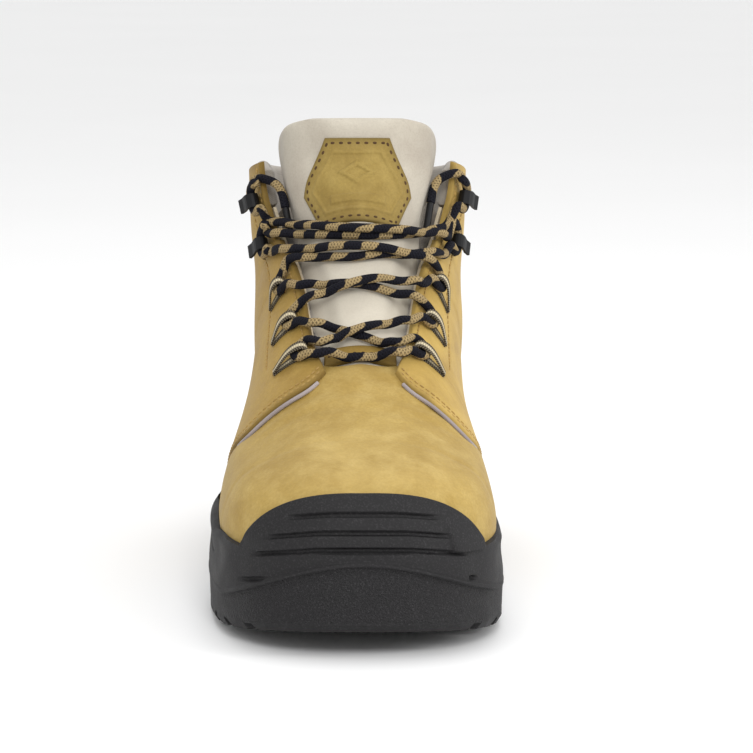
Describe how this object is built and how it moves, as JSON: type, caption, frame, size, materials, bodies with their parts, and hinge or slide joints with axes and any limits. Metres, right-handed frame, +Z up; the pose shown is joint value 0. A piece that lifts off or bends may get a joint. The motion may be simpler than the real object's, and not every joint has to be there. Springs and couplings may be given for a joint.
{
  "type": "steel toe work boot",
  "caption": "Mid-height lace-up safety boot for the right foot, with a steel toe cap, rubber cup sole, padded collar and tongue, webbing loops and lace hooks.",
  "frame": {"origin": "centre of the outsole's bounding box, on the ground", "axes": "+Y from the toe to the heel, +Z up, +X to the medial side of a right foot"},
  "size_m": [0.1162, 0.305, 0.189],
  "materials": {
    "nubuck": "yellow-tan nubuck, matt",
    "nubuck_light": "lighter yellow-tan nubuck, matt",
    "rubber": "near-black moulded rubber, matt",
    "midsole": "near-black moulded rubber, matt",
    "padding": "pale grey-beige padded fabric",
    "lining": "grey textile lining",
    "piping": "grey folded edge tape",
    "steel": "plain steel",
    "black_metal": "black enamel",
    "board": "fibre board",
    "webbing": "braided tape, cream with dark threads",
    "lace": "round braided cord, charcoal with tan flecks"
  },
  "bodies": {
    "boot": {"backstay": "nubuck", "collar_pad": "padding", "eyestay_stay_lateral": "board", "eyestay_stay_medial": "board", "footbed": "lining", "heel_cover": "nubuck", "heel_stiffener": "board", "hook_rivet_lateral_1": "steel", "hook_rivet_lateral_2": "steel", "hook_rivet_medial_1": "steel", "hook_rivet_medial_2": "steel", "insole_board": "board", "lace": "lace", "lace_hook_lateral_1": "black_metal", "lace_hook_lateral_2": "black_metal", "lace_hook_medial_1": "black_metal", "lace_hook_medial_2": "black_metal", "lace_loop_lateral_1": "webbing", "lace_loop_lateral_2": "webbing", "lace_loop_lateral_3": "webbing", "lace_loop_medial_1": "webbing", "lace_loop_medial_2": "webbing", "lace_loop_medial_3": "webbing", "lace_tip_lateral": "black_metal", "lace_tip_medial": "black_metal", "midsole": "midsole", "outsole": "rubber", "quarter_lateral": "nubuck", "quarter_lining_lateral": "lining", "quarter_lining_medial": "lining", "quarter_medial": "nubuck", "quarter_piping_lateral": "piping", "quarter_piping_medial": "piping", "shank": "steel", "steel_toe_cap": "steel", "toe_bumper": "rubber", "toe_cap_trim": "lining", "vamp": "nubuck_light", "vamp_lining": "lining"},
    "tongue": {"tongue": "padding", "tongue_badge": "nubuck", "tongue_base_strip": "nubuck", "tongue_gusset_lateral": "lining", "tongue_gusset_medial": "lining"}
  },
  "joints": [
    {"name": "tongue_flex", "type": "hinge", "parent": "boot", "child": "tongue", "pos_m": [0.0025, -0.0513, 0.0829], "axis": [-1, 0, 0], "range_deg": [0, 10], "stiffness_Nm_per_rad": 0.3, "springref_deg": -14.32}
  ]
}
